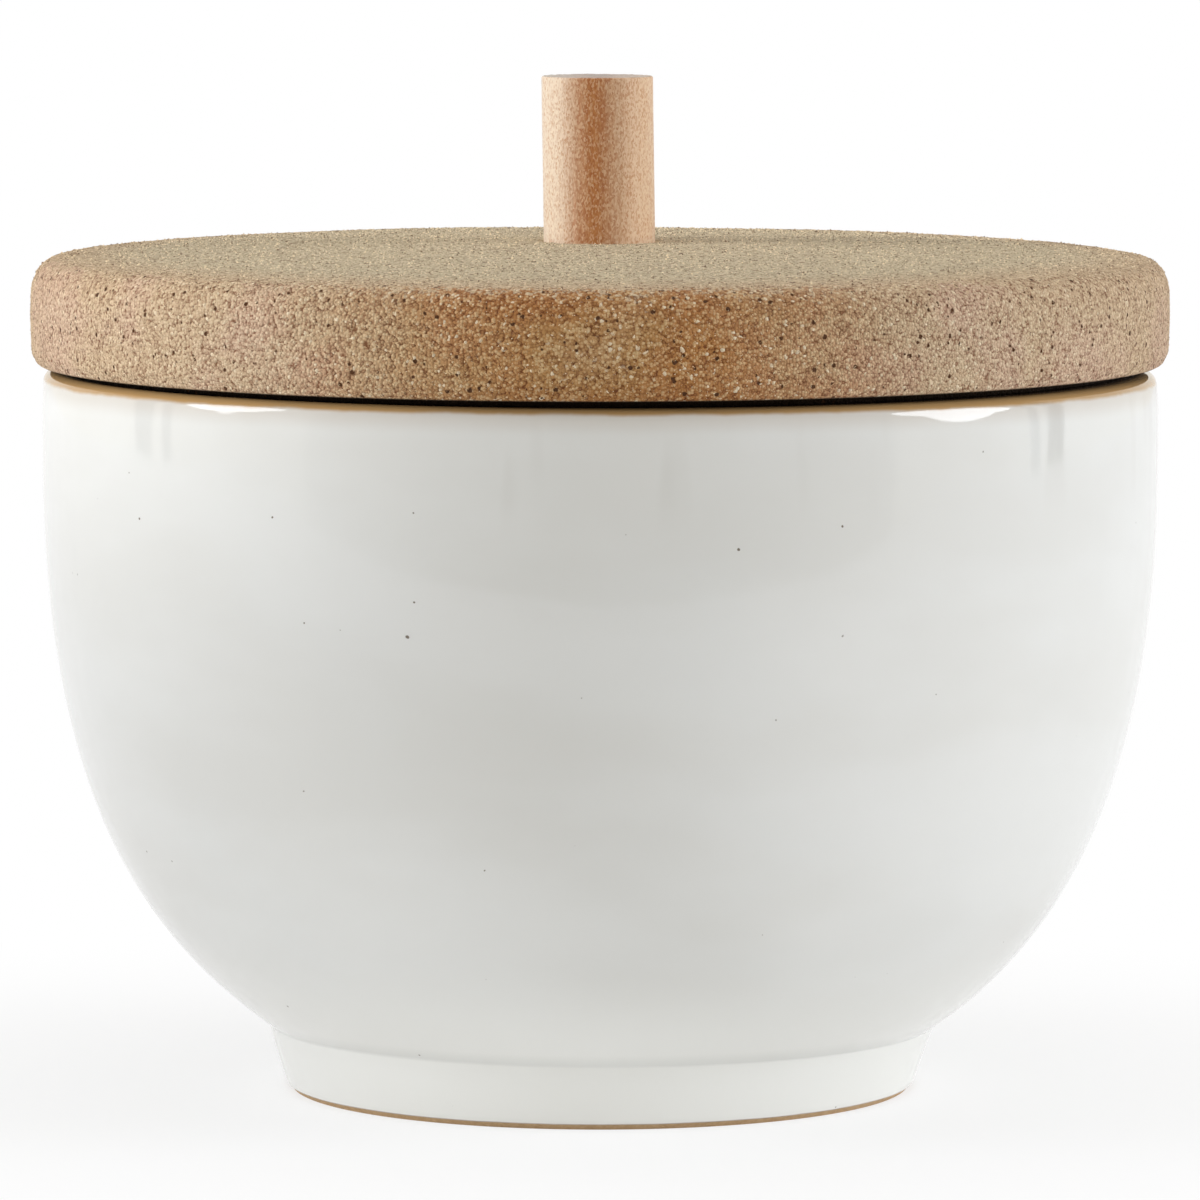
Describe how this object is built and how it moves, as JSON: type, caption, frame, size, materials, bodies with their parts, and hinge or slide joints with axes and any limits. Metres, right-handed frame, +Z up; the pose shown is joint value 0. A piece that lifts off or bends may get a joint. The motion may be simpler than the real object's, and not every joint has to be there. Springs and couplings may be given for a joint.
{
  "type": "lidded stoneware box",
  "caption": "Round white-glazed stoneware bowl on a foot ring, closed by a bare sandy clay lid that lifts off by a plain round wooden knob.",
  "frame": {"origin": "centre of the foot ring, on the table", "axes": "+Z up along the axis of the bowl and the knob; the picture looks along +Y"},
  "size_m": [0.1014, 0.1014, 0.0902],
  "materials": {
    "white_glaze": "glossy off-white glaze over tan stoneware",
    "bare_stoneware": "unglazed, sandy, speckled",
    "beech_dowel": "sanded, unvarnished",
    "zinc_plated_steel": "bright zinc plate",
    "clear_silicone": "milky, soft"
  },
  "bodies": {
    "bowl": {"bowl": "white_glaze"},
    "screw_washer": {"screw_washer": "clear_silicone"},
    "lid": {"lid": "bare_stoneware", "knob": "beech_dowel", "knob_screw": "zinc_plated_steel"}
  },
  "joints": [
    {"name": "lid_lift", "type": "slide", "parent": "bowl", "child": "screw_washer", "axis": [0, 0, 1], "range_m": [0, 0.08]},
    {"name": "lid_turn", "type": "hinge", "parent": "screw_washer", "child": "lid", "pos_m": [0, 0, 0.0685], "axis": [0, 0, 1], "continuous": true}
  ]
}
